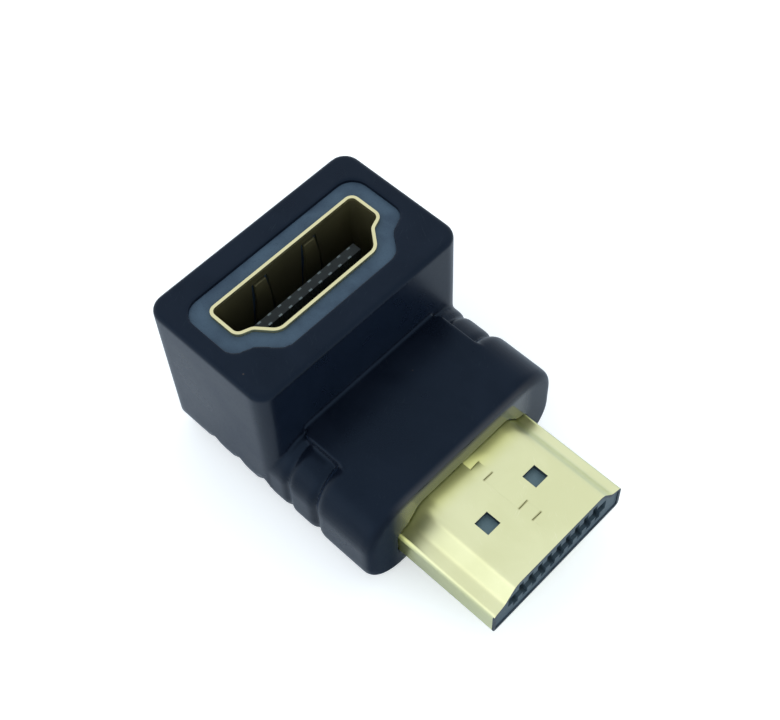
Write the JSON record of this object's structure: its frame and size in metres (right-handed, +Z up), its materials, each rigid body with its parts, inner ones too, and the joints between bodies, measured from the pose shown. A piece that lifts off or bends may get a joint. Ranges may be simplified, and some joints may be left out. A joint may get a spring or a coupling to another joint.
{
  "type": "right angle video adapter",
  "caption": "Right angle adapter with a D-shaped multi-contact port on top and a matching plug at the front, in one moulded housing with a ribbed neck.",
  "frame": {"origin": "on the flat bottom of the housing, on the axis of the port above it", "axes": "+Z up along the port's axis, +X out along the plug, +Y across the width"},
  "size_m": [0.0306, 0.0198, 0.016],
  "materials": {
    "housing": "very dark navy flexible PVC, satin, with a faint spark-eroded grain",
    "inner_mould": "slate, matt",
    "port_shell": "thin pale gold plate over sheet steel, satin",
    "plug_shell": "thin pale gold plate over sheet steel, satin",
    "port_insulator": "black glass-filled nylon",
    "plug_insulator": "dark slate glass-filled nylon",
    "contact": "gold plate, polished by the die",
    "circuit_board": "green solder mask over glass epoxy"
  },
  "bodies": {
    "root": {"housing": "housing", "inner_mould": "inner_mould", "port_shell": "port_shell", "port_insulator": "port_insulator", "plug_shell": "plug_shell", "plug_insulator": "plug_insulator", "circuit_board": "circuit_board", "port_contact_01": "contact", "port_contact_02": "contact", "port_contact_03": "contact", "port_contact_04": "contact", "port_contact_05": "contact", "port_contact_06": "contact", "port_contact_07": "contact", "port_contact_08": "contact", "port_contact_09": "contact", "port_contact_10": "contact", "port_contact_11": "contact", "port_contact_12": "contact", "port_contact_13": "contact", "port_contact_14": "contact", "port_contact_15": "contact", "port_contact_16": "contact", "port_contact_17": "contact", "port_contact_18": "contact", "port_contact_19": "contact", "plug_contact_01": "contact", "plug_contact_02": "contact", "plug_contact_03": "contact", "plug_contact_04": "contact", "plug_contact_05": "contact", "plug_contact_06": "contact", "plug_contact_07": "contact", "plug_contact_08": "contact", "plug_contact_09": "contact", "plug_contact_10": "contact", "plug_contact_11": "contact", "plug_contact_12": "contact", "plug_contact_13": "contact", "plug_contact_14": "contact", "plug_contact_15": "contact", "plug_contact_16": "contact", "plug_contact_17": "contact", "plug_contact_18": "contact", "plug_contact_19": "contact"}
  },
  "joints": []
}
